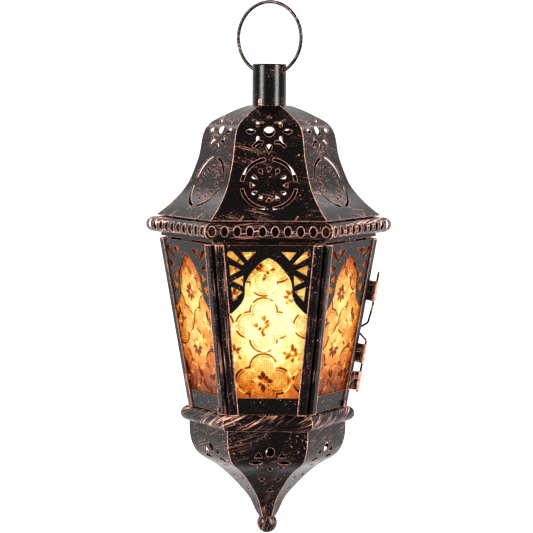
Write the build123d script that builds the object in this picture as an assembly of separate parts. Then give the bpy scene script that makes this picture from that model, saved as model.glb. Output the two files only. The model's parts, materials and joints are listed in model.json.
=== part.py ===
from build123d import *
from math import atan, atan2, cos, degrees, radians, sin, sqrt, tan
import os

# Six-sided hanging candle lantern, millimetres, +Z up.
# Heights are first measured from the lowest point of the finial ball; at export
# everything is lowered by HANG_HEIGHT, so the origin is where a hook carries the ring.
# The front face looks along -Y, and the corners of the hexagon stand at 0, 60, ... 300 degrees.
HANG_HEIGHT = 303.2
HALF_SIDE = 30.0                    # half the angle that one side covers, seen from the axis
TO_FLAT = cos(radians(HALF_SIDE))   # corner radius to flat radius
FACES = {
    "front": 270, "front_right": 330, "back_right": 30,
    "back": 90, "back_left": 150, "front_left": 210,
}
DOOR = "back_right"
SHEET = 0.6                         # roof, band and pendant sheet

# Finial ball and pendant
BALL_RADIUS = 5.8
STEM_RADIUS, STEM_TOP = 2.4, 16.0
PENDANT_TOP = 65.2
PENDANT_OUTLINE = [                 # corner radius, height
    (4.6, 9.5), (6.6, 12.9), (9.8, 19.8), (15.2, 26.7), (21.9, 33.6), (30.5, 40.5),
    (36.6, 44.0), (40.6, 47.4), (42.9, 51.2), (44.5, 57.0), (44.9, PENDANT_TOP),
]

PENDANT_SHIFT = 1.5                 # sideways misplacement of the whole hole pattern

# Lower band: a half-round moulding with a flange at the top and at the bottom
LOWER_BAND_Z, LOWER_BAND_R = (65.3, 74.2), 49.9
LOWER_FLANGE_IN, LOWER_LIP_IN = 29.0, 36.6

# Body: six tapered faces between two levels
BODY_BOTTOM, BODY_BOTTOM_R = 74.2, 46.8
BODY_TOP, BODY_TOP_R = 170.5, 63.5
RAIL_WIDTH, RAIL_SHEET, RAIL_DEPTH = 6.5, 0.7, 5.2
RAIL_ROUND, RAIL_LIP = 1.3, 3.0
GROOVE = 1.2                        # gap between the rails of two neighbouring faces
DOOR_TRIM = 1.2                     # how much shorter the door is at its foot
PLATE_SHEET, PLATE_TUCK = 0.6, 3.8
GLASS_THICK, GLASS_FRONT, GLASS_TUCK = 2.8, 1.4, 2.2
GLASS_TOP, GLASS_BOTTOM = 3.6, 94.5
ARCH_APEX, ARCH_FOOT, WINDOW_BOTTOM, PLATE_BOTTOM = 7.3, 38.7, 87.3, 97.0
RAYS_UP = 1.0                       # how far all the ray cut-outs sit above their nominal places

# Upper band: a pierced half-round moulding
UPPER_BAND_Z, UPPER_BAND_R = (174.0, 182.6), 69.9
UPPER_FLANGE_IN = 53.2
BAND_HOLES, BAND_HOLE = 10, (3.8, 5.4)
COLLAR_FLAT, COLLAR_Z = 53.0, (171.7, 182.2)
TONGUE_BOTTOM, TONGUE_WIDTH = 167.4, 12.0

# Roof and neck
ROOF_OUTLINE = [
    (63.7, 183.9), (57.2, 188.9), (50.3, 195.8), (45.4, 202.7), (42.5, 209.6), (40.0, 216.5),
    (38.3, 225.5), (36.6, 231.6), (33.4, 235.8), (28.2, 238.9), (21.0, 242.4), (12.1, 245.8),
]
FLOWER_Z, MEDALLION_Z = 232.0, 202.6
MEDALLION_R, MEDALLION_SLOT, MEDALLION_ARC = 15.0, 1.8, 73.0
NECK_RADIUS, NECK_WALL, NECK_Z = 9.6, 0.8, (243.0, 269.4)

# Hanging ring: a wire loop through two holes near the top of the neck
RING_PIVOT_Z, RING_HOLE_R = 265.8, 1.7
RING_R, RING_WIRE_R, RING_SPLIT = 20.4, 1.0, 0.9
RING_Z = HANG_HEIGHT - RING_R + RING_WIRE_R
RING_TURN = -30.0                   # the ring's plane holds the front-right face's normal
RING_SPLIT_ANGLE = 97.0

# Hinge on the 0 degree corner: a kinked wire pin in three rolled knuckles
HINGE_OUT = 2.9                     # axis outside the corner line
PIN_R, KNUCKLE_BORE, KNUCKLE_R = 0.6, 0.65, 1.2
KNUCKLE_1, KNUCKLE_2, KNUCKLE_3 = (134.8, 146.3), (99.2, 110.1), (83.6, 94.5)
PIN_TOP, PIN_KINK, KINK_REACH = 152.0, 118.0, 4.9
LEAF_SHEET, DOOR_LEAF_IN = 0.45, 5.0
DOOR_LEAF_SIDE = 0.15               # the door leaves' middle beside the corner plane, clear of both rails

# Latch on the 60 degree corner, hanging released
LATCH_Z, LATCH_SIDE = 126.0, 5.2
LATCH_STEM_R, LATCH_HOLE_R, LATCH_HUB_R = 1.0, 1.06, 2.3
LATCH_SHEET, LATCH_ARM = 0.8, 2.8

# Floor, candle cup and tealight
FLOOR_FLAT, FLOOR_SHEET = 33.0, 0.8
FLOOR_Z = BODY_BOTTOM + FLOOR_SHEET
CUP_R, CUP_WALL, CUP_HEIGHT = 20.4, 0.5, 10.0
TEALIGHT_R, TEALIGHT_WALL, TEALIGHT_HEIGHT = 19.0, 0.3, 16.0
WAX_HEIGHT, WICK_R, WICK_HEIGHT = 12.5, 0.8, 6.5

# Worked out from the sizes above
BODY_RISE = BODY_TOP - BODY_BOTTOM
EDGE_TILT = atan((BODY_TOP_R - BODY_BOTTOM_R) / BODY_RISE)
FACE_TILT = atan((BODY_TOP_R - BODY_BOTTOM_R) * TO_FLAT / BODY_RISE)
SLOPE = BODY_RISE / cos(FACE_TILT)
HALF_TOP = BODY_TOP_R / 2           # half the width of a face along its top edge
SIDE_RUN = (BODY_TOP_R - BODY_BOTTOM_R) / 2 / SLOPE     # narrowing of a half width per mm of slope
WEB_RUN = tan(radians(HALF_SIDE)) * cos(FACE_TILT)      # sideways run of a rail's web per mm of depth


def corner_radius(height):
    """Radius of the body's corners at a height."""
    return BODY_TOP_R + (height - BODY_TOP) * tan(EDGE_TILT)


def turned(shape, angle):
    """A copy turned about the vertical axis."""
    return Rot(0, 0, angle) * shape


def wedge(reach=90, height=320):
    """The sector that one side of the hexagon fills, around the +X direction."""
    half = reach * tan(radians(HALF_SIDE))
    outline = make_face(Polyline((0, 0), (reach, half), (reach, -half), close=True))
    return extrude(outline, height)


def hexagon(flat, low, high):
    """A solid hexagonal slab with faces on the lantern's six sides."""
    outline = RegularPolygon(flat / TO_FLAT, 6)
    return Pos(0, 0, low) * extrude(outline, high - low)


def outline_curve(points):
    """The curve of a panel's outer skin in the XZ plane, from corner radii."""
    return Spline(*[(radius * TO_FLAT, 0, height) for radius, height in points])


def inward(curve, share):
    """The direction into the sheet at a share of a curve that runs upwards."""
    tangent = curve % share
    return Vector(-tangent.Z, 0, tangent.X)


def bent_sheet(curve, steps=16):
    """One bent panel: the curve's skin, SHEET thick, spread sideways and mitred at its seams."""
    shares = [step / steps for step in range(steps + 1)]
    inner = Spline(*[(curve @ share) + inward(curve, share) * SHEET for share in shares])
    ends = [Line(curve @ end, inner @ end) for end in (0, 1)]
    profile = make_face([curve, inner] + ends)
    return extrude(profile, 60, both=True) & wedge()


def share_at(curve, height):
    """The share of an upward curve at which it reaches a height."""
    low, high = 0.0, 1.0
    for _ in range(40):
        middle = (low + high) / 2
        if (curve @ middle).Z < height:
            low = middle
        else:
            high = middle
    return low


def sheet_plane(curve, along):
    """The plane that touches a panel at a distance up its curve, facing outwards."""
    share = along / curve.length
    return Plane(curve @ share, x_dir=(0, 1, 0), z_dir=inward(curve, share) * -1)


def punch(curve, along, shape, depth=4.0):
    """The tool that punches a flat shape through a panel at a distance up its curve."""
    return sheet_plane(curve, along) * extrude(shape, depth / 2, both=True)


def drop(length, width):
    """A teardrop hole with its round end up and its point down, centred on its length."""
    radius = width / 2
    top = length / 2 - radius
    side = tangent_point(radius, length - radius)
    outline = Polyline((side[0], top + side[1]), (0, -length / 2), (-side[0], top + side[1]), close=True)
    return make_face(outline) + Pos(0, top) * Circle(radius)


def tangent_point(radius, distance):
    """Where a line from a point below a circle's centre touches the circle."""
    rise = -radius * radius / distance
    return sqrt(radius * radius - rise * rise), rise


def marquise(length, width):
    """A pointed oval hole, along X."""
    radius = (length * length / 4 + width * width / 4) / width
    shift = radius - width / 2
    return (Pos(0, shift) * Circle(radius)) & (Pos(0, -shift) * Circle(radius))


def triangle(width, height):
    """A triangular hole with its point up."""
    half = width / 2
    return make_face(Polyline((-half, -height / 2), (half, -height / 2), (0, height / 2), close=True))


def fleur():
    """A three-armed hole: a tail along +X and two arms that spread back from it."""
    arms = [(0, 4.0), (135, 3.4), (-135, 3.4)]
    arm_width = 1.5
    shape = Circle(arm_width * 0.62)
    for angle, reach in arms:
        shape += Rot(0, 0, angle) * Pos(reach / 2, 0) * SlotOverall(reach, arm_width)
    return shape


# --- finial and pendant ---------------------------------------------------------------------

def finial_ball():
    """The ball, with the stem that holds it in the pendant's neck."""
    stem = Pos(0, 0, BALL_RADIUS) * extrude(Circle(STEM_RADIUS), STEM_TOP - BALL_RADIUS)
    return Pos(0, 0, BALL_RADIUS) * Sphere(BALL_RADIUS) + stem


def pendant_panel():
    """One of the six pierced panels that curve down to the ball."""
    curve = outline_curve(PENDANT_OUTLINE)
    panel = bent_sheet(curve) - Pos(0, 0, BALL_RADIUS) * Sphere(BALL_RADIUS)
    oval, leaf = Ellipse(2.4, 2.8), marquise(7.6, 3.6)
    small, large = triangle(3.9, 3.5), triangle(4.6, 3.8)
    pointing_down = Rot(0, 0, 180)
    holes = [                       # sideways, height, shape
        (0, 53.2, oval), (-6.6, 51.6, large), (6.6, 51.6, large), (-8.0, 46.6, leaf), (8.0, 46.6, leaf),
        (-6.1, 42.8, pointing_down * small), (6.1, 42.8, pointing_down * small), (0, 41.6, drop(4.6, 3.2)),
        (-4.6, 34.2, pointing_down * small), (4.6, 34.2, pointing_down * small), (0, 27.6, small),
    ]
    for side, height, shape in holes:
        along = share_at(curve, height) * curve.length
        panel -= punch(curve, along, Pos(side + PENDANT_SHIFT, 0) * shape)
    return panel


# --- bands ----------------------------------------------------------------------------------

def half_round(levels, corner, top_in, bottom_in):
    """One side of a band: a half-round moulding of sheet with a flange above and below."""
    low, high = (level + sign * SHEET / 2 for level, sign in zip(levels, (1, -1)))
    radius = (high - low) / 2
    centre = corner * TO_FLAT - SHEET / 2 - radius
    path = Line((top_in, high), (centre, high))
    path += CenterArc((centre, low + radius), radius, 90, -180)
    path += Line((centre, low), (bottom_in, low))
    profile = Plane.XZ * trace(path, SHEET)
    return extrude(profile, 60, both=True) & wedge()


def lower_band():
    """One side of the plain band under the body; the floor plate rests on its top flange."""
    return half_round(LOWER_BAND_Z, LOWER_BAND_R, LOWER_FLANGE_IN, LOWER_LIP_IN)


def upper_band():
    """One side of the band under the roof, with its row of punched holes."""
    band = half_round(UPPER_BAND_Z, UPPER_BAND_R, UPPER_FLANGE_IN, UPPER_FLANGE_IN)
    middle = sum(UPPER_BAND_Z) / 2
    pitch = (UPPER_BAND_R - 1.0) / BAND_HOLES
    face = Plane((UPPER_BAND_R * TO_FLAT, 0, middle), x_dir=(0, 1, 0), z_dir=(1, 0, 0))
    for index in range(BAND_HOLES):
        side = (index - (BAND_HOLES - 1) / 2) * pitch
        hole = Pos(side, 0) * Ellipse(BAND_HOLE[0] / 2, BAND_HOLE[1] / 2)
        band -= face * extrude(hole, 2.6, both=True)
    return band


def top_collar():
    """The six-sided wall inside the upper band, with tongues behind the fixed faces' plates."""
    bottom, top = COLLAR_Z
    wall = hexagon(COLLAR_FLAT, bottom, top) - hexagon(COLLAR_FLAT - SHEET, bottom - 1, top + 1)
    height = bottom - TONGUE_BOTTOM + 1
    tongue = Pos(COLLAR_FLAT - SHEET / 2, 0, TONGUE_BOTTOM + height / 2) * Box(SHEET, TONGUE_WIDTH, height)
    for name, azimuth in FACES.items():
        if name != DOOR:
            wall += turned(tongue, azimuth)
    return wall


# --- body faces, each built in its own plane: X sideways, Y up the slope, Z outwards -----------

def face_plane(azimuth):
    """A face's own plane, with its origin at the middle of the face's top edge."""
    turn = radians(azimuth)
    side, out = (-sin(turn), cos(turn)), (cos(turn), sin(turn))
    flat = BODY_TOP_R * TO_FLAT
    normal = (out[0] * cos(FACE_TILT), out[1] * cos(FACE_TILT), -sin(FACE_TILT))
    return Plane((out[0] * flat, out[1] * flat, BODY_TOP), x_dir=(*side, 0), z_dir=normal)


def half_width(down, inset):
    """Half the width of a face at a distance down it, less an inset from its corner line."""
    return HALF_TOP - SIDE_RUN * down - inset


RAIL_INNER = GROOVE / 2 / TO_FLAT + RAIL_WIDTH      # from the corner line to the rail's raw edge


def side_rails(length):
    """The two folded rails that grip the plate and the glass along their sloping edges."""
    middle = RAIL_SHEET / 2
    outer = HALF_TOP - (GROOVE / 2 + middle) / TO_FLAT
    back = RAIL_DEPTH - middle
    heel = outer - WEB_RUN * (back - middle)
    points = [(HALF_TOP - RAIL_INNER, -middle), (outer, -middle), (heel, -back), (heel - RAIL_LIP, -back)]
    profile = Plane.XZ * trace(FilletPolyline(*points, radius=[RAIL_ROUND, 0.6]), RAIL_SHEET)
    rail = extrude(profile, length * sqrt(1 + SIDE_RUN**2), dir=Vector(-SIDE_RUN, -1, 0).normalized())
    return Compound(children=[rail.solid(), mirror(rail, about=Plane.YZ).solid()])


def trapezium(top, bottom, inset):
    """A sheet outline between two distances down a face, parallel to its sloping edges."""
    wide, narrow = half_width(top, inset), half_width(bottom, inset)
    corners = [(-wide, -top), (wide, -top), (narrow, -bottom), (-narrow, -bottom)]
    return make_face(Polyline(*corners, close=True))


def window():
    """The arched window: a pointed bulb that flares to the rails, then follows them down."""
    edge = RAIL_INNER - 0.6
    arch = Spline(
        (0, -ARCH_APEX), (7.7, -13.4), (12.6, -21.5), (13.3, -29.3), (20.2, -ARCH_FOOT),
        tangents=[(1, -0.3), (0.7, -0.75)],
    )
    shoulder, foot = half_width(ARCH_FOOT, edge), half_width(WINDOW_BOTTOM, edge)
    rest = Polyline((20.2, -ARCH_FOOT), (shoulder, -ARCH_FOOT), (foot, -WINDOW_BOTTOM), (0, -WINDOW_BOTTOM))
    right = make_face([arch, rest, Line((0, -WINDOW_BOTTOM), (0, -ARCH_APEX))])
    return right + mirror(right, about=Plane.YZ)


def rays():
    """The cut-outs above the arch's right shoulder: a drop and four triangles, fanned like rays."""
    corners = [
        [(7.0, -4.8), (15.0, -5.0), (11.6, -9.6)],
        [(21.4, -12.2), (15.4, -15.0), (21.0, -18.2)],
        [(13.9, -18.2), (19.6, -21.2), (14.2, -24.0)],
        [(20.4, -24.6), (14.6, -27.2), (19.4, -32.6)],
    ]
    shapes = [make_face(Polyline(*points, close=True)) for points in corners]
    big, small = (20.9, -6.2), (14.4, -11.4)
    reach = sqrt((big[0] - small[0]) ** 2 + (big[1] - small[1]) ** 2)
    lean = degrees(atan2(big[1] - small[1], big[0] - small[0]))
    body = make_face(Polyline((0, -0.7), (reach, -1.8), (reach, 1.8), (0, 0.7), close=True))
    ray = body + Circle(0.7) + Pos(reach, 0) * Circle(1.8)
    shapes.append(Pos(*small) * Rot(0, 0, lean) * ray)
    return [Pos(0, RAYS_UP) * shape for shape in shapes]


def fret_plate(bottom):
    """The pierced sheet of one face, held behind the front flanges of its rails."""
    front = -(RAIL_SHEET + 0.02)
    outline = trapezium(0, bottom, RAIL_INNER - PLATE_TUCK) - window()
    for shape in rays():
        outline -= shape
        outline -= mirror(shape, about=Plane.YZ)
    return Pos(0, 0, front - PLATE_SHEET) * extrude(outline, PLATE_SHEET)


def glass_pane():
    """The pane behind a fret plate; its pressed relief is left to the finish."""
    outline = trapezium(GLASS_TOP, GLASS_BOTTOM, RAIL_INNER - GLASS_TUCK)
    return Pos(0, 0, -GLASS_FRONT - GLASS_THICK) * extrude(outline, GLASS_THICK)


# --- roof, neck and ring --------------------------------------------------------------------

def roof_panel():
    """One of the six pierced panels that bend over the shoulder up to the neck."""
    curve = outline_curve(ROOF_OUTLINE)
    panel = bent_sheet(curve, 24)
    panel -= extrude(Circle(NECK_RADIUS + 0.02), HANG_HEIGHT)
    flower = share_at(curve, FLOWER_Z) * curve.length
    panel -= punch(curve, flower, Circle(3.0))
    panel -= punch(curve, flower + 11.0, Circle(1.2))
    panel -= punch(curve, flower - 10.0, drop(5.4, 3.2))
    for side in (-1, 1):
        panel -= punch(curve, flower, Pos(side * 10.2, 0) * marquise(5.2, 3.0))
        for rise in (-1, 1):
            lean = degrees(atan2(rise, side))
            shape = Pos(side * 6.4, 0) * Rot(0, 0, lean) * fleur()
            panel -= punch(curve, flower + rise * 6.2, shape)
        slit = Pos(side * 15.0, 1.8) * Rot(0, 0, -25) * Rectangle(0.5, 4.4)
        panel -= punch(curve, 0, slit)
    medallion = share_at(curve, MEDALLION_Z) * curve.length
    for index in range(4):
        arc = CenterArc((0, 0), MEDALLION_R, 90 * index + (90 - MEDALLION_ARC) / 2, MEDALLION_ARC)
        panel -= punch(curve, medallion, trace(arc, MEDALLION_SLOT), depth=14)
    for index in range(12):
        angle = 30 * index
        shape = drop(3.4, 2.2) if index % 3 else Rot(0, 0, 180) * triangle(3.4, 2.8)
        panel -= punch(curve, medallion, Rot(0, 0, angle) * Pos(0, 9.0) * shape, depth=8)
    return panel


def neck_tube():
    """The neck: a drawn cap, closed above, with the ring's two holes."""
    low, high = NECK_Z
    tube = Pos(0, 0, low) * extrude(Circle(NECK_RADIUS), high - low)
    tube = fillet(tube.edges().group_by(Axis.Z)[-1], 0.9)
    tube -= Pos(0, 0, low) * extrude(Circle(NECK_RADIUS - NECK_WALL), high - low - NECK_WALL)
    hole = Pos(0, 0, RING_PIVOT_Z) * Rot(0, 90, 0) * Cylinder(RING_HOLE_R, 3 * NECK_RADIUS)
    return tube - turned(hole, RING_TURN)


def hang_ring():
    """The split wire ring, threaded through the neck's holes."""
    gap = degrees(RING_SPLIT / RING_R) / 2
    path = Plane.XZ * CenterArc((0, RING_Z), RING_R, RING_SPLIT_ANGLE + gap, 360 - 2 * gap)
    section = Plane(path @ 0, z_dir=path % 0) * Circle(RING_WIRE_R)
    return turned(sweep(section, path=path), RING_TURN)


# --- hinge, latch and small tabs --------------------------------------------------------------

def corner_plane(azimuth, height, out=0.0):
    """A plane on a corner line: X sideways, Y up the corner, Z outwards."""
    turn = radians(azimuth)
    radius = corner_radius(height)
    normal = Vector(cos(turn) * cos(EDGE_TILT), sin(turn) * cos(EDGE_TILT), -sin(EDGE_TILT))
    foot = Vector(radius * cos(turn), radius * sin(turn), height)
    return Plane(foot + normal * out, x_dir=(-sin(turn), cos(turn), 0), z_dir=normal)


def across_corner(height):
    """A plane square to the 0 degree corner line: X outwards, Y sideways, Z up the corner."""
    corner = corner_plane(0, height)
    return Plane(corner.origin, x_dir=corner.z_dir, z_dir=corner.y_dir)


def rise_along(span):
    """The length up the corner line between two heights."""
    return (span[1] - span[0]) / cos(EDGE_TILT)


def rolled_knuckle(span, leaf):
    """A barrel round the pin with its leaf, between two heights."""
    barrel = Pos(HINGE_OUT, 0) * Circle(KNUCKLE_R)
    profile = barrel + leaf - Pos(HINGE_OUT, 0) * Circle(KNUCKLE_BORE)
    return across_corner(span[0]) * extrude(profile, rise_along(span))


def door_knuckles():
    """The two upper knuckles, whose leaves lie on the door rail inside the corner groove."""
    reach = HINGE_OUT + DOOR_LEAF_IN
    leaf = Pos(HINGE_OUT - reach / 2, DOOR_LEAF_SIDE) * Rectangle(reach, LEAF_SHEET)
    return Compound(children=[rolled_knuckle(span, leaf).solid() for span in (KNUCKLE_1, KNUCKLE_2)])


def fixed_knuckle():
    """The lowest knuckle, whose leaf lies over the front of the fixed rail."""
    turn = atan2(TO_FLAT, 0.5 * cos(EDGE_TILT))
    along, out = Vector(-cos(turn), -sin(turn)), Vector(sin(turn), -cos(turn))
    lift = out * (LEAF_SHEET / 2 + 0.05)
    points = [Vector(HINGE_OUT, -0.95), along * 1.6 + lift, along * 6.0 + lift]
    leaf = trace(Polyline(*points), LEAF_SHEET)
    return rolled_knuckle(KNUCKLE_3, leaf)


def hinge_pin():
    """The wire pin: straight through the knuckles, bowed in to the corner between them."""
    base = KNUCKLE_3[0] - 1.0
    kink = HINGE_OUT - KINK_REACH
    stations = [
        (HINGE_OUT, base), (HINGE_OUT, PIN_KINK - 5.6), (kink, PIN_KINK - 1.8), (kink, PIN_KINK + 1.2),
        (HINGE_OUT - 0.9, PIN_KINK + 4.4), (HINGE_OUT, PIN_KINK + 13.5), (HINGE_OUT, PIN_TOP),
    ]
    points = [(out, (height - base) / cos(EDGE_TILT)) for out, height in stations]
    frame = across_corner(base)
    path = Plane(frame.origin, x_dir=frame.x_dir, z_dir=frame.y_dir * -1) * FilletPolyline(
        *points, radius=[1.6, 1.2, 1.2, 2.4, 8.0])
    section = Plane(path @ 0, z_dir=path % 0) * Circle(PIN_R)
    return sweep(section, path=path)


def pegs(side, face, head_r, stem_r):
    """A headed peg beside the 60 degree corner, its foot cut to lie on a face."""
    top = LATCH_SHEET + 0.35
    peg = Pos(side, 0, -4.5) * extrude(Circle(stem_r), 4.5 + top)
    peg += Pos(side, 0, top) * extrude(Circle(head_r), 0.6)
    keep_out = face_plane(FACES[face]) * Pos(0, 0, -10) * Box(200, 400, 20)
    return (corner_plane(60, LATCH_Z) * peg) - keep_out


def latch_pivot():
    """The headed pin on the back face's rail that the hook turns on."""
    return pegs(LATCH_SIDE, "back", 1.7, LATCH_STEM_R)


def door_stud():
    """The headed stud on the door's rail that the hook catches."""
    return pegs(-LATCH_SIDE, DOOR, 1.5, LATCH_STEM_R - 0.1)


def latch_hook():
    """The flat hook, hanging straight down from its pivot."""
    reach = 2 * LATCH_SIDE
    arm = Pos(0, -reach / 2) * Rectangle(LATCH_ARM, reach)
    shape = Circle(LATCH_HUB_R) + arm + Pos(0, -reach) * Circle(2.4)
    shape -= Circle(LATCH_HOLE_R)
    notch = 2 * (LATCH_STEM_R + 0.2)
    shape -= Pos(0, -reach) * (Circle(notch / 2) + Pos(-2, 0) * Rectangle(4, notch))
    plate = Pos(LATCH_SIDE, 0, 0.25) * extrude(shape, LATCH_SHEET)
    return corner_plane(60, LATCH_Z) * plate


def solder_tabs():
    """Small bent tabs: two at the feet of the front side faces and one at the neck's foot."""
    tabs = []
    foot = half_width(SLOPE, RAIL_INNER)
    for name, side in (("front_left", foot), ("front_right", foot)):
        tab = Pos(side, 2.0 - SLOPE, 0.35) * Rot(0, 0, -12) * Box(0.9, 3.4, 0.6)
        tabs.append(face_plane(FACES[name]) * tab)
    tabs.append(turned(Pos(NECK_RADIUS + 0.4, 0, 247.9) * Box(0.7, 2.0, 3.4), 240))
    return Compound(children=[tab.solid() for tab in tabs])


# --- floor and candle -----------------------------------------------------------------------

def floor_plate():
    """The sheet floor that rests on the lower band's flange."""
    return hexagon(FLOOR_FLAT, BODY_BOTTOM, FLOOR_Z)


def round_cup(radius, wall, height):
    """An open round cup with a flat floor."""
    cup = extrude(Circle(radius), height)
    return cup - Pos(0, 0, wall) * extrude(Circle(radius - wall), height)


def candle_cup():
    """The low cup that keeps the candle in the middle of the floor."""
    return Pos(0, 0, FLOOR_Z) * round_cup(CUP_R, CUP_WALL, CUP_HEIGHT)


CANDLE_Z = FLOOR_Z + CUP_WALL + 0.02


def tealight_cup():
    """The tealight's thin metal cup."""
    return Pos(0, 0, CANDLE_Z) * round_cup(TEALIGHT_R, TEALIGHT_WALL, TEALIGHT_HEIGHT)


def tealight_wax():
    """The wax, bored for its wick."""
    wax = extrude(Circle(TEALIGHT_R - TEALIGHT_WALL - 0.05), WAX_HEIGHT)
    return Pos(0, 0, CANDLE_Z + TEALIGHT_WALL) * (wax - extrude(Circle(WICK_R + 0.02), WAX_HEIGHT))


def tealight_wick():
    """The wick, from the cup's floor to above the wax."""
    return Pos(0, 0, CANDLE_Z + TEALIGHT_WALL) * extrude(Circle(WICK_R), WAX_HEIGHT + WICK_HEIGHT)


# --- the whole lantern ----------------------------------------------------------------------

def all_nodes():
    """Every node's name and shape, standing on the ball."""
    nodes = {
        "hang_ring": hang_ring(), "neck_tube": neck_tube(), "top_collar": top_collar(),
        "finial_ball": finial_ball(), "floor_plate": floor_plate(), "candle_cup": candle_cup(),
        "hinge_pin": hinge_pin(), "hinge_knuckle_fixed": fixed_knuckle(), "door_knuckles": door_knuckles(),
        "latch_pivot": latch_pivot(), "latch_hook": latch_hook(), "door_stud": door_stud(),
        "solder_tabs": solder_tabs(), "tealight_cup": tealight_cup(), "tealight_wax": tealight_wax(),
        "tealight_wick": tealight_wick(),
    }
    shells = {
        "roof": roof_panel(), "pendant": pendant_panel(),
        "upper_band": upper_band(), "lower_band": lower_band(),
    }
    pane = glass_pane()
    fixed = (side_rails(SLOPE), fret_plate(PLATE_BOTTOM))
    opening = (side_rails(SLOPE - DOOR_TRIM), fret_plate(PLATE_BOTTOM - DOOR_TRIM))
    for name, azimuth in FACES.items():
        for kind, shape in shells.items():
            nodes[f"{kind}_{name}"] = turned(shape, azimuth)
        rails, plate = opening if name == DOOR else fixed
        plane = face_plane(azimuth)
        nodes[f"rails_{name}"] = plane * rails
        nodes[f"fret_{name}"] = plane * plate
        nodes[f"glass_{name}"] = plane * pane
    return nodes


os.makedirs("parts", exist_ok=True)
for node, shape in all_nodes().items():
    export_step(Pos(0, 0, -HANG_HEIGHT) * shape, f"parts/{node}.step")
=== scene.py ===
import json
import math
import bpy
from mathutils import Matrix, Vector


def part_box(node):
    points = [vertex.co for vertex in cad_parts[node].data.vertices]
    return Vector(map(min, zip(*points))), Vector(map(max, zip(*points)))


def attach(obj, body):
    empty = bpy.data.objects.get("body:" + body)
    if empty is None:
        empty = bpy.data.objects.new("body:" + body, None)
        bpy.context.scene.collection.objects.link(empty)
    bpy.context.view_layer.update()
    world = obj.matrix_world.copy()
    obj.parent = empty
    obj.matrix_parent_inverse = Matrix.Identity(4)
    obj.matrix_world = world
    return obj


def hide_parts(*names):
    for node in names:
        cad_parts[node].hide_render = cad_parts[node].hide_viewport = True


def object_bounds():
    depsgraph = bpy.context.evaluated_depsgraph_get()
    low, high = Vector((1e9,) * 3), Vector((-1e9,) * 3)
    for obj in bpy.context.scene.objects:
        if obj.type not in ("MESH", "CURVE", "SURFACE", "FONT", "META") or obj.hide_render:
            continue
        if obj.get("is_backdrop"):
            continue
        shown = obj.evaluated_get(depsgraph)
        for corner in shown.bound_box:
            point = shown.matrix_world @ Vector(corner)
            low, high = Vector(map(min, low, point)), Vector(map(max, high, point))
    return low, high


bl_info = {
    "name": "Six-sided Candle Lantern",
    "version": (1, 0, 0),
    "blender": (4, 5, 0),
    "location": "View3D > Sidebar > Lantern",
    "description": "Finishes a pierced metal lantern: brushed paint, pressed amber glass, candle, studio",
    "category": "Object",
}

import bmesh
import bpy
from mathutils import Matrix, Vector

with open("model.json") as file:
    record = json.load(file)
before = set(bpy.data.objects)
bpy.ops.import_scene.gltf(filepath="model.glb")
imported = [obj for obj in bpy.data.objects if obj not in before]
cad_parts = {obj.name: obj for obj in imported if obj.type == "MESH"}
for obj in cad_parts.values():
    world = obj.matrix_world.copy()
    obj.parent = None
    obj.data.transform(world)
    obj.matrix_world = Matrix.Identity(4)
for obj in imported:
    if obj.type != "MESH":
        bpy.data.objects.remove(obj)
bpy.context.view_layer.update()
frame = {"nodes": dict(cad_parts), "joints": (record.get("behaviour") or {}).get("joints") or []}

MM = 0.001
AZIMUTHS = {
    "front": 270, "front_right": 330, "back_right": 30,
    "back": 90, "back_left": 150, "front_left": 210,
}
DOOR = "back_right"

# The faces' slope, from the hinge: its line runs parallel to the corner between two faces.
JOINTS = {joint["name"]: joint for joint in frame["joints"]}
HINGE_AXIS = Vector(JOINTS["door_hinge"]["axis"])
HINGE_PLACE = Vector(JOINTS["door_hinge"]["pos_m"])
EDGE_TILT = math.atan2(abs(HINGE_AXIS.x), abs(HINGE_AXIS.z))
FACE_TILT = math.atan(math.tan(EDGE_TILT) * math.cos(math.radians(30)))
PLATE_BACK = 1.32 * MM              # back of a fret plate behind its face's plane
BODY_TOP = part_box("fret_front")[1].z - PLATE_BACK * math.sin(FACE_TILT)
FACE_FLAT = -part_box("rails_front")[0].y     # from the axis to the front face along its top edge
HALF_TOP = FACE_FLAT * math.tan(math.radians(30))
SIDE_RUN = math.tan(EDGE_TILT) * math.cos(FACE_TILT) / 2    # narrowing of a half width down the slope
CANDLE_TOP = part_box("tealight_wick")[1].z


def body_of(face):
    """The CAD body that a face's pieces ride on."""
    return "door" if face == DOOR else "casing"


def face_matrix(azimuth):
    """A face's own axes: X sideways, Y up the slope, Z outwards, from the middle of its top edge."""
    turn = math.radians(azimuth)
    side = Vector((-math.sin(turn), math.cos(turn), 0))
    level = Vector((math.cos(turn), math.sin(turn), 0))
    out = level * math.cos(FACE_TILT) - Vector((0, 0, math.sin(FACE_TILT)))
    up = out.cross(side)
    place = level * FACE_FLAT + Vector((0, 0, BODY_TOP))
    columns = Matrix((side, up, out)).transposed()
    return Matrix.Translation(place) @ columns.to_4x4()


# --- shader expressions ------------------------------------------------------------------------

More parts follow.
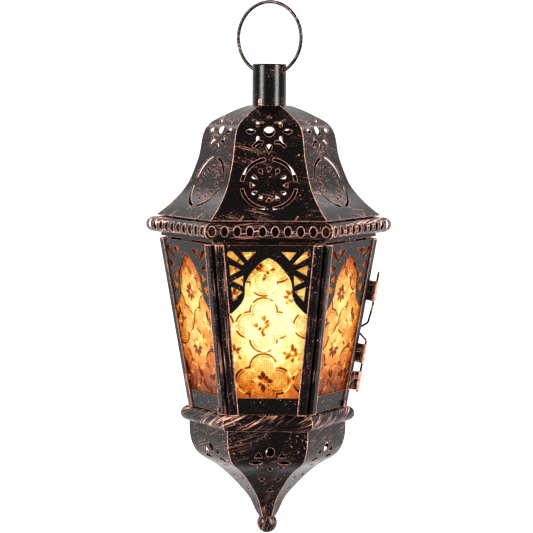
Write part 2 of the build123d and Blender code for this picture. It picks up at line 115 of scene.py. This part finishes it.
class Wire:
    """An output socket that Python's operators turn into Math nodes."""

    def __init__(self, shader, socket):
        self.shader, self.socket = shader, socket

    def math(self, operation, *others, clamp=False):
        values = dict(enumerate((self,) + others))
        return self.shader.node("ShaderNodeMath", {"operation": operation, "use_clamp": clamp}, values)

    def __add__(self, other):
        return self.math("ADD", other)

    def __radd__(self, other):
        return self.math("ADD", other)

    def __sub__(self, other):
        return self.math("SUBTRACT", other)

    def __rsub__(self, other):
        return self.shader.node("ShaderNodeMath", {"operation": "SUBTRACT"}, {0: other, 1: self})

    def __mul__(self, other):
        return self.math("MULTIPLY", other)

    def __rmul__(self, other):
        return self.math("MULTIPLY", other)

    def __truediv__(self, other):
        return self.math("DIVIDE", other)

    def clamped(self):
        return self.math("ADD", 0.0, clamp=True)

    def at_least(self, other):
        return self.math("MAXIMUM", other)

    def ramp(self, low, high):
        """0 below low, 1 above high, smooth between; a low above high falls instead."""
        settings = {"interpolation_type": "SMOOTHSTEP"}
        links = {"Value": self, "From Min": low, "From Max": high}
        if low > high:
            links = {"Value": self, "From Min": high, "From Max": low, "To Min": 1.0, "To Max": 0.0}
        return self.shader.node("ShaderNodeMapRange", settings, links)


class Shader:
    """A material's node tree, written as expressions."""

    def __init__(self, name):
        self.material = bpy.data.materials.new(name)
        self.material.use_nodes = True
        self.tree = self.material.node_tree
        self.tree.nodes.clear()

    def node(self, kind, settings=None, links=None, output=0):
        """Adds a node: its settings first, then its sockets' values or links; returns one output."""
        made = self.tree.nodes.new(kind)
        for key, value in (settings or {}).items():
            if key == "stops":
                self.set_stops(made.color_ramp, value)
            else:
                setattr(made, key, value)
        for key, value in (links or {}).items():
            if isinstance(value, Wire):
                self.tree.links.new(value.socket, made.inputs[key])
            else:
                made.inputs[key].default_value = value
        return Wire(self, made.outputs[output]) if made.outputs else None

    @staticmethod
    def set_stops(ramp, stops):
        while len(ramp.elements) < len(stops):
            ramp.elements.new(0.5)
        for element, (place, colour) in zip(ramp.elements, stops):
            element.position = place
            element.color = (*colour, 1.0)

    def object_axes(self):
        """The object's coordinates, in metres, and their three parts."""
        place = self.node("ShaderNodeTexCoord", output="Object")
        return place, [self.axis(place, index) for index in range(3)]

    def axis(self, vector, index):
        return self.node("ShaderNodeSeparateXYZ", None, {0: vector}, output=index)

    def vector(self, x=0.0, y=0.0, z=0.0):
        return self.node("ShaderNodeCombineXYZ", links={0: x, 1: y, 2: z})

    def vector_math(self, operation, *vectors, output=0):
        return self.node("ShaderNodeVectorMath", {"operation": operation}, dict(enumerate(vectors)), output)

    def noise(self, place, scale, detail=2.0, roughness=0.5):
        sockets = {"Vector": place, "Scale": scale, "Detail": detail, "Roughness": roughness}
        return self.node("ShaderNodeTexNoise", {"normalize": True}, sockets)

    def attribute(self, name):
        return self.node("ShaderNodeAttribute", {"attribute_name": name}, output="Fac")

    def mix(self, share, first, second):
        """A mix of two colours by a share."""
        settings = {"data_type": "RGBA"}
        return self.node("ShaderNodeMix", settings, {"Factor": share, 6: first, 7: second}, output=2)

    def colours(self, value, stops):
        return self.node("ShaderNodeValToRGB", {"stops": stops}, {0: value})

    def bump(self, height, distance, strength=1.0):
        sockets = {"Height": height, "Distance": distance, "Strength": strength}
        return self.node("ShaderNodeBump", None, sockets)

    def surface(self, **sockets):
        """The Principled shader and the output; underscores stand for spaces in socket names."""
        links = {key.replace("_", " "): value for key, value in sockets.items()}
        shader = self.node("ShaderNodeBsdfPrincipled", None, links)
        self.node("ShaderNodeOutputMaterial", None, {"Surface": shader})
        return self.material


def rgba(colour):
    """A property's colour with full opacity."""
    return (*colour[:3], 1.0)


def give(piece, material):
    """Puts one material in every slot of a piece or CAD node."""
    if not piece.material_slots:
        piece.data.materials.append(material)
    for slot in piece.material_slots:
        slot.material = material


# --- metal ---------------------------------------------------------------------------------------

AROUND = 0.05                       # m of surface per radian, a middling radius of the lantern
BARREL_R = 1.5 * MM                 # just outside the hinge's rolled barrels


def worn_copper(shader, place, axes, lean, density, along, edge, edge_width, stroke):
    """How much copper shows through the black paint, 0 to 1: rubbed edges, dry brush strokes, specks."""
    x, y, z = axes
    turn = y.math("ARCTAN2", x) * AROUND
    if along == "up":
        run, across = z + turn * lean, turn
    else:
        run, across = turn + z * lean, z - turn * lean
    fine = shader.noise(shader.vector(run * 45.0, across * 1500.0, x * 60.0), 1.0, 2.0, 0.6)
    broad = shader.noise(shader.vector(run * 40.0, across * 260.0, y * 40.0), 1.0, 2.0, 0.5)
    patches = shader.noise(place, 55.0, 2.0, 0.55)
    brushed = patches.ramp(0.62 - density, 0.9 - density) * stroke
    strokes = fine.ramp(0.5, 0.68) * broad.ramp(0.4, 0.66) * brushed
    specks = shader.noise(place, 1100.0, 1.0, 0.5).ramp(0.66, 0.74) * patches.ramp(0.4, 0.58)
    rubbed = shader.node("ShaderNodeBevel", {"samples": 6}, {"Radius": edge_width})
    flat = shader.node("ShaderNodeNewGeometry", output="Normal")
    turned = shader.vector_math("DOT_PRODUCT", rubbed, flat, output="Value")
    broken = shader.noise(place, 420.0, 2.0, 0.6).ramp(0.28, 0.62)
    edges = (1.0 - turned).ramp(0.012, 0.14) * (broken * 0.65 + 0.35) * edge
    return strokes.at_least(specks * 0.55).at_least(edges).clamped()


def round_hinge(shader, place):
    """1 on the rolled barrels and the pin, 0 on the leaves, by the distance from the door's hinge line."""
    off = shader.vector_math("SUBTRACT", place, HINGE_PLACE)
    across = shader.vector_math("CROSS_PRODUCT", off, HINGE_AXIS)
    gap = shader.vector_math("LENGTH", across, output="Value")
    worn = shader.noise(place, 500.0, 2.0).ramp(0.25, 0.6) * 0.65 + 0.2
    return gap.ramp(BARREL_R + 0.2 * MM, BARREL_R - 0.2 * MM) * worn


def painted_metal(name, looks, lean=0.2, density=0.3, along="around", edge=1.0, edge_width=0.55 * MM,
                  stroke=0.8, hinge=False):
    """Black paint over sheet, dry-brushed with copper."""
    shader = Shader(name)
    place, axes = shader.object_axes()
    copper = worn_copper(shader, place, axes, lean, density, along, edge, edge_width, stroke)
    if hinge:
        copper = copper.at_least(round_hinge(shader, place))
    mottle = shader.noise(place, 130.0, 3.0, 0.6)
    dust = shader.noise(place, 1700.0, 1.0, 0.5).ramp(0.66, 0.76) * 0.8
    black = shader.mix(mottle, rgba(looks.paint), rgba(looks.paint_worn))
    black = shader.mix(dust, black, rgba(looks.dust))
    rust = shader.mix(shader.noise(place, 300.0), rgba(looks.copper), rgba(looks.copper_bright))
    grain = shader.noise(place, 1400.0, 2.0, 0.6)
    height = grain * 0.3 + copper * 0.7 + mottle * 0.4
    return shader.surface(
        Base_Color=shader.mix(copper, black, rust),
        Metallic=copper * 0.25,
        Specular_IOR_Level=looks.paint_gloss,
        Roughness=(mottle * 0.12 + copper * 0.14 + looks.paint_roughness).clamped(),
        Normal=shader.bump(height, 0.12 * MM, 0.35),
    )


def bright_metal(name):
    """The tealight's thin pressed aluminium."""
    shader = Shader(name)
    place, (x, y, z) = shader.object_axes()
    flutes = (y.math("ARCTAN2", x) * 60.0).math("SINE")
    dull = shader.noise(place, 200.0)
    return shader.surface(
        Base_Color=shader.mix(dull, (0.75, 0.75, 0.74, 1), (0.9, 0.9, 0.88, 1)),
        Metallic=1.0,
        Roughness=dull * 0.2 + 0.22,
        Normal=shader.bump(flutes + dull, 0.1 * MM, 0.4),
    )


def candle_wax(name, looks):
    """Wax, glowing softly round the wick."""
    shader = Shader(name)
    place, (x, y, z) = shader.object_axes()
    reach = (x * x + y * y).math("SQRT")
    glow = reach.ramp(16 * MM, 1 * MM)
    cloud = shader.noise(place, 120.0, 3.0)
    return shader.surface(
        Base_Color=shader.mix(cloud, (0.93, 0.88, 0.76, 1), (0.98, 0.95, 0.88, 1)),
        Roughness=cloud * 0.25 + 0.3,
        Emission_Color=shader.mix(glow, (0.02, 0.008, 0.001, 1), rgba(looks.flame)),
        Emission_Strength=0.6,
        Normal=shader.bump(cloud, 0.3 * MM, 0.3),
    )


def charred_wick(name):
    """Twisted cotton, black at the tip."""
    shader = Shader(name)
    place, (x, y, z) = shader.object_axes()
    twist = (y.math("ARCTAN2", x) * 3.0 + z * 4000.0).math("SINE")
    burnt = z.ramp(CANDLE_TOP - 6 * MM, CANDLE_TOP - 2 * MM)
    return shader.surface(
        Base_Color=shader.mix(burnt, (0.7, 0.62, 0.5, 1), (0.02, 0.015, 0.012, 1)),
        Roughness=twist * 0.05 + 0.85,
        Normal=shader.bump(twist, 0.2 * MM, 0.6),
    )


# --- glass ---------------------------------------------------------------------------------------

PANE_MAP = "PaneMap"
PANE_MASKS = ("line", "motif", "field", "lit", "warm")      # the pressed pattern, where the painted glow falls (lit) and the side panes' painted shade, as vertex numbers
RELIEF = 0.4                        # mm that the pattern's ground lies under the pane's front
ROOT_DROP = 3.5 * MM                # how far the flame's root is below the wick's tip


def pressed_glass(name, looks):
    """Amber pressed glass; the candle's light through it is painted in as an emission glow, with painted
    shade. The pane's own map runs 1 unit per 100 mm.
    """
    shader = Shader(name)
    place, axes = shader.object_axes()
    chart = shader.node("ShaderNodeUVMap", {"uv_map": PANE_MAP})
    side = (shader.axis(chart, 0) - 0.5) * 100.0
    down = shader.axis(chart, 1) * 100.0
    line, motif, field, lit, warm = (shader.attribute(key) for key in PANE_MASKS)
    wander = shader.noise(place, 60.0, 2.0, 0.5) - 0.5
    reach_side = side / 23.0 + wander * 0.5
    reach_down = (down - looks.glow_down) / 34.0 + wander * 0.7
    reach = reach_side * reach_side + reach_down * reach_down
    # Painted light: the glow is emission, brightest round each pane's middle.
    glow = (reach * -0.75).math("EXPONENT")
    # Painted shade: the glow dimmer and the lines darker towards the pane's foot.
    foot = down.ramp(62.0, 84.0)
    streaks = shader.noise(shader.vector(side * 0.28, down * 0.16, axes[2] * 90.0), 1.0, 3.0, 0.6)
    dots = {"Vector": chart, "Scale": 96.0, "Randomness": 0.35}
    cells = shader.node("ShaderNodeTexVoronoi", {"feature": "F1"}, dots)
    stipple = cells.ramp(0.52, 0.14) * field
    facets = shader.noise(shader.vector(side * 0.2, down * 0.2, axes[2] * 20.0), 1.0, 1.0, 0.5)
    # Painted shade on the side panes: dimmer all over and most at their tops (the crown).
    crown_shade = down.ramp(26.0, 4.0)
    light = glow * 0.66 + 0.42 + (streaks - 0.5) * 0.55 - foot * 0.16
    light = light - warm * (glow * 0.14 + crown_shade * 0.2 + 0.19)
    # Painted highlight and shade on the pressed lines: noise makes some stretches lighter than the field,
    # others darker.
    shade = facets.ramp(0.36, 0.58) * 1.35 - 0.35
    dark = (line * looks.line_dark + motif * 0.6) * shade * (foot * 0.3 + 1.0) + stipple * 0.3
    # The painted glow stays off the pane's edges and back, where lit is 0.
    light = (light - dark) * lit
    colour = shader.colours(light.clamped(), [
        (0.0, (0.03, 0.004, 0.002)), (0.2, (0.20, 0.035, 0.008)), (0.42, (0.54, 0.17, 0.03)),
        (0.62, (0.70, 0.37, 0.08)), (0.8, (0.80, 0.68, 0.24)), (1.0, (0.80, 0.88, 0.55)),
    ])
    dents = stipple * 0.6 + shader.noise(place, 260.0, 2.0) * 0.35
    return shader.surface(
        Base_Color=shader.mix(0.9, colour, (0.05, 0.015, 0.002, 1)),
        Roughness=0.2,
        Specular_IOR_Level=0.15,
        Emission_Color=colour,
        Emission_Strength=looks.glow_strength,
        Normal=shader.bump(dents, 0.25 * MM, 0.5),
    )


def circle_gap(x, y, at_x, at_y, radius):
    """Distance outside a circle, negative inside."""
    return math.hypot(x - at_x, y - at_y) - radius


def petal_gap(x, y, angle, near, far, half):
    """Distance outside a pointed petal that runs out from the origin at an angle."""
    along = x * math.cos(angle) + y * math.sin(angle)
    across = abs(y * math.cos(angle) - x * math.sin(angle))
    middle, reach = (near + far) / 2, (far - near) / 2
    bow = (reach * reach + half * half) / (2 * half)
    return math.hypot(along - middle, across + bow - half) - bow


def soft_step(value, width):
    """1 well below zero, 0 well above it, over a width."""
    return min(1.0, max(0.0, 0.5 - value / width))


def quatrefoil_relief(side, down, period, lobe):
    """The pressed pattern at a point of a pane, mm: its height, outline, motif and stippled field."""
    x = (side + period / 2) % period - period / 2
    y = (down + period / 2) % period - period / 2
    far, near = max(abs(x), abs(y)), min(abs(x), abs(y))
    gap = min(circle_gap(far, near, lobe * 1.06, 0, lobe), math.hypot(x, y) - lobe * 0.6)
    outline = soft_step(abs(gap) - 0.42, 0.5)
    inner = soft_step(abs(gap + 1.5) - 0.24, 0.45)
    field = soft_step(gap + 2.1, 0.5)
    motif = 0.0
    for quarter in range(4):
        motif = max(motif, soft_step(petal_gap(x, y, quarter * math.pi / 2, 1.2, 6.8, 1.25), 0.5))
        motif = max(motif, soft_step(petal_gap(x, y, (quarter + 0.5) * math.pi / 2, 0.8, 4.2, 0.8), 0.5))
    corner_x, corner_y = period / 2 - abs(x), period / 2 - abs(y)
    daisy = 0.0
    for eighth in range(8):
        angle = eighth * math.pi / 4
        petal = petal_gap(math.copysign(corner_x, x), math.copysign(corner_y, y), angle, 1.0, 5.4, 1.0)
        daisy = max(daisy, soft_step(petal, 0.5))
    motif = max(motif, daisy)
    height = 0.36 * max(outline, 0.7 * inner) + 0.26 * motif
    return height, max(outline, inner * 0.55), motif, field


def glass_pane(face, looks):
    """One pressed pane: a fine sheet pressed into the pattern, closed by its edges and a flat back."""
    pane = looks
    top, bottom, inset = pane.pane_top, pane.pane_bottom, pane.pane_inset
    facing = face in ("front", "back")
    shift_side = pane.motif_side + (0.0 if facing else pane.period / 2)
    columns, rows = int(2 * HALF_TOP / MM / pane.grain), int((bottom - top) / pane.grain)
    shape = bmesh.new()
    chart = shape.loops.layers.uv.new(PANE_MAP)
    layers = [shape.verts.layers.float.new(key) for key in PANE_MASKS]
    bmesh.ops.create_grid(shape, x_segments=columns, y_segments=rows, size=1.0)
    for vert in shape.verts:
        down = top + (1 - vert.co.y) / 2 * (bottom - top)
        side = vert.co.x * (HALF_TOP / MM - SIDE_RUN * down - inset)
        height, line, motif, field = quatrefoil_relief(
            side - shift_side, down - pane.motif_down, pane.period, pane.lobe)
        # Masks: the pattern, where the painted glow falls (lit), and painted shade on the side panes.
        for layer, value in zip(layers, (line, motif, field, 1.0, 0.0 if facing else 1.0)):
            vert[layer] = value
        vert.co = Vector((side, -down, pane.pane_front - RELIEF + height)) * MM
    rim = [edge for edge in shape.edges if edge.is_boundary]
    grown = bmesh.ops.extrude_edge_only(shape, edges=rim)["geom"]
    for vert in (part for part in grown if isinstance(part, bmesh.types.BMVert)):
        vert.co.z = (pane.pane_front - pane.pane_thick) * MM
        for layer in layers:
            vert[layer] = 0.0
    back = [part for part in grown if isinstance(part, bmesh.types.BMEdge)]
    bmesh.ops.contextual_create(shape, geom=back)
    bmesh.ops.recalc_face_normals(shape, faces=shape.faces)
    for polygon in shape.faces:
        polygon.smooth = len(polygon.verts) == 4
        for loop in polygon.loops:
            loop[chart].uv = (loop.vert.co.x / (100 * MM) + 0.5, -loop.vert.co.y / (100 * MM))
    shape.transform(face_matrix(AZIMUTHS[face]))
    return finish_piece(f"pressed_pane_{face}", shape)


def finish_piece(name, shape):
    """Turns a bmesh into an object at the origin."""
    mesh = bpy.data.meshes.new(name)
    shape.to_mesh(mesh)
    shape.free()
    piece = bpy.data.objects.new(name, mesh)
    bpy.context.scene.collection.objects.link(piece)
    return piece


def flame_piece(looks):
    """A candle flame: a soft drop turned about the wick."""
    shape = bmesh.new()
    steps, tall, wide = 18, looks.flame_height, looks.flame_width / 2
    verts = []
    for step in range(steps + 1):
        rise = step / steps
        swell = math.sin(math.pi * rise ** 0.62) ** 0.9 * (1 - 0.35 * rise)
        verts.append(shape.verts.new((wide * swell, 0, CANDLE_TOP - ROOT_DROP + tall * rise)))
    for low, high in zip(verts, verts[1:]):
        shape.edges.new((low, high))
    bmesh.ops.spin(shape, geom=shape.verts[:] + shape.edges[:], axis=(0, 0, 1), cent=(0, 0, 0),
                   angle=2 * math.pi, steps=24, use_merge=True)
    bmesh.ops.remove_doubles(shape, verts=shape.verts, dist=0.02 * MM)
    bmesh.ops.recalc_face_normals(shape, faces=shape.faces)
    for polygon in shape.faces:
        polygon.smooth = True
    return finish_piece("candle_flame", shape)


def flame_glow(name, looks):
    """The flame's light, blue at its root and yellow-white in its body."""
    shader = Shader(name)
    place, (x, y, z) = shader.object_axes()
    rise = (z - (CANDLE_TOP - ROOT_DROP)) / looks.flame_height
    wisp = shader.noise(place, 150.0) * 0.08
    colour = shader.colours((rise + wisp).clamped(), [
        (0.0, (0.08, 0.12, 0.5)), (0.16, (0.75, 0.3, 0.06)),
        (0.42, (1.0, 0.8, 0.4)), (0.95, (1.0, 0.5, 0.1)),
    ])
    return shader.surface(Base_Color=colour, Roughness=0.6, Emission_Color=colour, Emission_Strength=4.0)


# --- studio --------------------------------------------------------------------------------------

SWEEP_REACH, SWEEP_TOP = 8.0, 6.0   # m, half the sweep's width and its height


def backdrop(studio):
    """A seamless sweep: floor, round bend and wall, pulled out of one profile."""
    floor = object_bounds()[0].z - studio.floor_drop
    shape = bmesh.new()
    bend, steps = studio.bend, 24
    profile = [(-SWEEP_REACH, floor), (-0.3, floor), (studio.wall - bend, floor)]
    for step in range(1, steps + 1):
        turn = math.pi / 2 * step / steps
        profile.append((studio.wall - bend + bend * math.sin(turn), floor + bend - bend * math.cos(turn)))
    profile.append((studio.wall, SWEEP_TOP))
    verts = [shape.verts.new((-SWEEP_REACH, y, z)) for y, z in profile]
    edges = [shape.edges.new(pair) for pair in zip(verts, verts[1:])]
    sheet = bmesh.ops.extrude_edge_only(shape, edges=edges)["geom"]
    far = [part for part in sheet if isinstance(part, bmesh.types.BMVert)]
    bmesh.ops.translate(shape, vec=(2 * SWEEP_REACH, 0, 0), verts=far)
    bmesh.ops.recalc_face_normals(shape, faces=shape.faces)
    piece = finish_piece("studio_sweep", shape)
    for polygon in piece.data.polygons:
        polygon.use_smooth = True
    shader = Shader("pale_sweep")
    place, axes = shader.object_axes()
    paper = shader.noise(place, 3.0) * 0.01
    behind = axes[1].ramp(-0.15, 0.15) * (1.0 - axes[2].ramp(1.1, 2.2) * 0.85)
    give(piece, shader.surface(
        Base_Color=(0.03, 0.03, 0.03, 1), Roughness=0.9,
        Emission_Color=shader.mix(behind - paper, (studio.front_floor,) * 3 + (1,), (1, 1, 1, 1)),
        Emission_Strength=studio.sweep_light,
    ))
    return piece


def soft_box(name, place, target, size, power):
    """A square soft light that faces a point."""
    lamp = bpy.data.lights.new(name, "AREA")
    lamp.shape, lamp.size, lamp.size_y, lamp.energy = "RECTANGLE", size[0], size[1], power
    holder = bpy.data.objects.new(name, lamp)
    holder.location = place
    holder.rotation_euler = (Vector(target) - Vector(place)).to_track_quat("-Z", "Y").to_euler()
    bpy.context.scene.collection.objects.link(holder)
    return holder


def studio_camera(studio):
    """A long lens in front of the lantern and a little above its middle, looking slightly down."""
    lens = bpy.data.cameras.new("studio_camera")
    lens.sensor_width, lens.lens = 36.0, studio.lens
    camera = bpy.data.objects.new("studio_camera", lens)
    turn = Matrix.Rotation(studio.heading, 4, "Z") @ Matrix.Rotation(math.pi / 2 - studio.pitch, 4, "X")
    camera.matrix_world = Matrix.Translation(studio.place) @ turn @ Matrix.Rotation(studio.roll, 4, "Z")
    bpy.context.scene.collection.objects.link(camera)
    bpy.context.scene.camera = camera


# --- settings a user would change ------------------------------------------------------------------

def colour_property(name, description, default):
    """A colour setting."""
    return bpy.props.FloatVectorProperty(
        name=name, description=description, default=default, size=3, min=0.0, max=1.0, subtype="COLOR")


def number(name, description, default, **more):
    """A number setting; more holds its unit, subtype or limits."""
    return bpy.props.FloatProperty(name=name, description=description, default=default, **more)


class LanternMetal(bpy.types.PropertyGroup):
    """The paint and the copper rubbed over it."""
    paint: colour_property("Paint", "Colour of the black paint", (0.004, 0.003, 0.003))
    paint_worn: colour_property(
        "Worn paint", "Colour of the paint where it is thin", (0.006, 0.004, 0.0035))
    dust: colour_property("Dust", "Colour of the fine specks in the paint", (0.07, 0.055, 0.05))
    copper: colour_property("Copper", "Colour of the dry-brushed copper", (0.55, 0.22, 0.15))
    copper_bright: colour_property(
        "Bright copper", "Colour of the copper on the rubbed edges", (0.98, 0.60, 0.50))
    paint_gloss: number(
        "Paint gloss", "Strength of the paint's mirror reflection", 0.28, min=0, max=1, subtype="FACTOR")
    paint_roughness: number(
        "Paint roughness", "Roughness of the clean paint", 0.19, min=0, max=1, subtype="FACTOR")


class LanternGlass(bpy.types.PropertyGroup):
    """The pressed panes, in millimetres from a face's top edge."""
    pane_top: number("Top", "Pane's top below the face's top, mm", 3.7)
    pane_bottom: number("Bottom", "Pane's foot below the face's top, mm", 94.4)
    pane_inset: number("Inset", "Pane's side edge inside the corner, mm", 5.1)
    pane_front: number("Front", "Pane's front behind the face's plane, mm", -1.45)
    pane_thick: number("Thickness", "Thickness of a pane, mm", 2.7)
    grain: number("Grain", "Spacing of the pressed relief's mesh, mm", 0.4)
    period: number("Pattern pitch", "Spacing of the quatrefoils, mm", 32.0)
    lobe: number("Lobe", "Radius of a quatrefoil's lobe, mm", 7.5)
    motif_down: number("First motif", "Distance of a quatrefoil below the face's top, mm", 45.4)
    motif_side: number("Motif side", "Distance of a quatrefoil beside the face's middle, mm", -2.6)
    glow_down: number("Glow", "Distance of the brightest place below the face's top, mm", 43.0)
    glow_strength: number("Glow strength", "Light of the lit glass", 0.7)
    line_dark: number("Line darkness", "How dark the pressed lines are", 0.8)


class LanternFlame(bpy.types.PropertyGroup):
    """The candle's flame."""
    flame_height: number("Height", "Height of the flame", 0.022, unit="LENGTH", subtype="DISTANCE")
    flame_width: number("Width", "Width of the flame", 0.0085, unit="LENGTH", subtype="DISTANCE")
    flame: colour_property("Glow", "Colour of the flame's light on the wax", (1.0, 0.52, 0.16))
    lamp_power: number("Power", "Light of the flame, W", 0.05)


class LanternStudio(bpy.types.PropertyGroup):
    """The camera, the sweep and the soft lights."""
    place: bpy.props.FloatVectorProperty(
        name="Camera place", description="Where the camera stands", default=(-0.0042, -1.26, -0.0342),
        size=3, subtype="TRANSLATION", unit="LENGTH")
    pitch: number("Pitch", "How far the camera looks down", 0.0910, subtype="ANGLE")
    heading: number("Heading", "How far the camera turns to the left", -0.0025, subtype="ANGLE")
    roll: number("Roll", "How far the camera leans", 0.0052, subtype="ANGLE")
    lens: number("Lens", "Focal length, mm", 149.67)
    floor_drop: number("Floor drop", "Distance of the floor below the finial", 0.09, unit="LENGTH")
    wall: number("Wall", "Distance of the wall behind the lantern", 3.2, unit="LENGTH")
    bend: number("Bend", "Radius of the bend from floor to wall", 0.9, unit="LENGTH")
    sweep_light: number("Sweep light", "Brightness of the sweep", 1.0)
    key_power: number("Key light", "Power of the side lights, W", 25.0)
    front_floor: number("Front floor", "Brightness of the floor before the lantern", 0.3)
    sky: number("Room light", "Brightness of the room", 0.28)


# --- operators -------------------------------------------------------------------------------------

class LANTERN_OT_metal(bpy.types.Operator):
    """Paint every sheet, rail and wire black and rub copper over it"""
    bl_idname = "lantern.metal"
    bl_label = "Brushed metal"

    def execute(self, context):
        looks = context.scene.lantern_metal
        roof = painted_metal("roof_paint", looks, lean=-0.2, density=0.2, stroke=0.3)
        pendant = painted_metal("pendant_paint", looks, lean=0.25, density=0.24, stroke=0.36)
        bead = painted_metal("bead_paint", looks, lean=0.1, density=0.6, edge_width=1.0 * MM)
        band = painted_metal("band_paint", looks, lean=0.5, density=0.7, stroke=1.0)
        rail = painted_metal("rail_paint", looks, lean=0.0, density=0.2, along="up", edge_width=1.3 * MM)
        plate = painted_metal("plate_paint", looks, lean=0.2, density=0.02, edge=0.6, edge_width=0.35 * MM)
        wire = painted_metal("wire_paint", looks, lean=0.8, density=0.42, edge=0.6)
        fitting = painted_metal(
            "fitting_paint", looks, lean=0.8, density=0.75, edge_width=0.9 * MM, hinge=True)
        ball = painted_metal("ball_paint", looks, lean=0.3, density=0.8)
        finish = {
            "roof": roof, "neck": roof, "upper": bead, "top": plate, "rails": rail, "fret": plate,
            "lower": band, "pendant": pendant, "finial": ball, "hang": wire,
            "hinge": fitting, "door": fitting, "latch": fitting, "solder": fitting,
            "floor": plate, "candle": plate,
        }
        for name, node in frame["nodes"].items():
            kind = name.split("_")[0]
            if kind in finish:
                give(node, finish[kind])
        give(frame["nodes"]["hinge_pin"], wire)
        return {"FINISHED"}


class LANTERN_OT_glass(bpy.types.Operator):
    """Press the six amber panes and set them behind their plates"""
    bl_idname = "lantern.glass"
    bl_label = "Pressed glass"

    def execute(self, context):
        looks = context.scene.lantern_glass
        material = pressed_glass("amber_pressed_glass", looks)
        for face in AZIMUTHS:
            pane = glass_pane(face, looks)
            give(pane, material)
            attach(pane, body_of(face))
            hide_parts(f"glass_{face}")
        return {"FINISHED"}


class LANTERN_OT_candle(bpy.types.Operator):
    """Finish the tealight and light its flame"""
    bl_idname = "lantern.candle"
    bl_label = "Tealight"

    def execute(self, context):
        looks = context.scene.lantern_flame
        give(frame["nodes"]["tealight_cup"], bright_metal("tealight_foil"))
        give(frame["nodes"]["tealight_wax"], candle_wax("tealight_wax", looks))
        give(frame["nodes"]["tealight_wick"], charred_wick("cotton_wick"))
        flame = flame_piece(looks)
        give(flame, flame_glow("flame_glow", looks))
        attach(flame, "tealight")
        lamp = bpy.data.lights.new("flame_lamp", "POINT")
        lamp.energy, lamp.color, lamp.shadow_soft_size = looks.lamp_power, looks.flame, 0.004
        holder = bpy.data.objects.new("flame_lamp", lamp)
        holder.location = (0, 0, CANDLE_TOP + looks.flame_height)
        bpy.context.scene.collection.objects.link(holder)
        return {"FINISHED"}


class LANTERN_OT_studio(bpy.types.Operator):
    """Set up the pale sweep, the soft lights and the camera"""
    bl_idname = "lantern.studio"
    bl_label = "Studio"

    def execute(self, context):
        studio = context.scene.lantern_studio
        backdrop(studio)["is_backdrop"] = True
        middle = (0, 0, -0.15)
        power = studio.key_power
        soft_box("left_light", (-1.0, -0.75, 0.15), middle, (0.5, 0.9), power)
        soft_box("right_light", (1.0, -0.75, 0.15), middle, (0.5, 0.9), power)
        soft_box("left_top_light", (-1.1, 0.7, 1.0), middle, (0.7, 0.7), power * 0.5)
        soft_box("right_top_light", (1.1, 0.7, 1.0), middle, (0.7, 0.7), power * 0.5)
        world = bpy.data.worlds.new("studio_room")
        world.use_nodes = True
        world.node_tree.nodes["Background"].inputs["Color"].default_value = (studio.sky,) * 3 + (1,)
        context.scene.world = world
        context.scene.view_settings.view_transform = "Standard"
        context.scene.view_settings.look = "High Contrast"
        studio_camera(studio)
        return {"FINISHED"}


class LANTERN_PT_panel(bpy.types.Panel):
    """The lantern's steps, in order"""
    bl_idname = "LANTERN_PT_panel"
    bl_label = "Candle lantern"
    bl_space_type = "VIEW_3D"
    bl_region_type = "UI"
    bl_category = "Lantern"

    def draw(self, context):
        for step in STEPS:
            self.layout.operator(step.bl_idname)
        for key, group in GROUPS.items():
            box = self.layout.box()
            box.label(text=group.__doc__)
            for name in group.__annotations__:
                box.prop(getattr(context.scene, key), name)


GROUPS = {
    "lantern_metal": LanternMetal, "lantern_glass": LanternGlass,
    "lantern_flame": LanternFlame, "lantern_studio": LanternStudio,
}
STEPS = (LANTERN_OT_studio, LANTERN_OT_metal, LANTERN_OT_glass, LANTERN_OT_candle)
CLASSES = (*GROUPS.values(), *STEPS, LANTERN_PT_panel)


def register():
    for cls in CLASSES:
        bpy.utils.register_class(cls)
    for key, group in GROUPS.items():
        setattr(bpy.types.Scene, key, bpy.props.PointerProperty(type=group))


def unregister():
    for key in GROUPS:
        delattr(bpy.types.Scene, key)
    for cls in reversed(CLASSES):
        bpy.utils.unregister_class(cls)


def main():
    """Builds the whole picture."""
    register()
    bpy.ops.lantern.studio()
    bpy.ops.lantern.metal()
    bpy.ops.lantern.glass()
    bpy.ops.lantern.candle()


if __name__ == "__main__":
    main()
